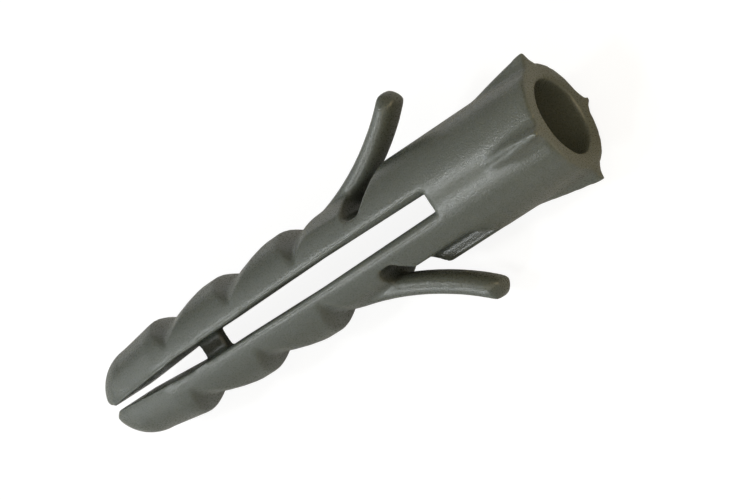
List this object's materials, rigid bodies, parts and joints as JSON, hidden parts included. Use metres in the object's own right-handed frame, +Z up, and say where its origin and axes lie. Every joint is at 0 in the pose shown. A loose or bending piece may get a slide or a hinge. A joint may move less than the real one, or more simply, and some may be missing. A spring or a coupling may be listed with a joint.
{
  "type": "wall plug",
  "caption": "Grey nylon wall plug with a split toothed body, two spread locking tongues and small fins round its mouth.",
  "frame": {"origin": "centre of the mouth face, on the axis of the screw bore", "axes": "+X along the axis out of the mouth, towards the screw head; the tip points to -X; +Z up, with the plug lying on one tongue, one fin and its toothed body as it comes to rest on a table"},
  "size_m": [0.04, 0.0154, 0.009],
  "materials": {
    "nylon": "satin moulded nylon, mid grey"
  },
  "bodies": {
    "root": {"wall_plug": "nylon"}
  },
  "joints": []
}
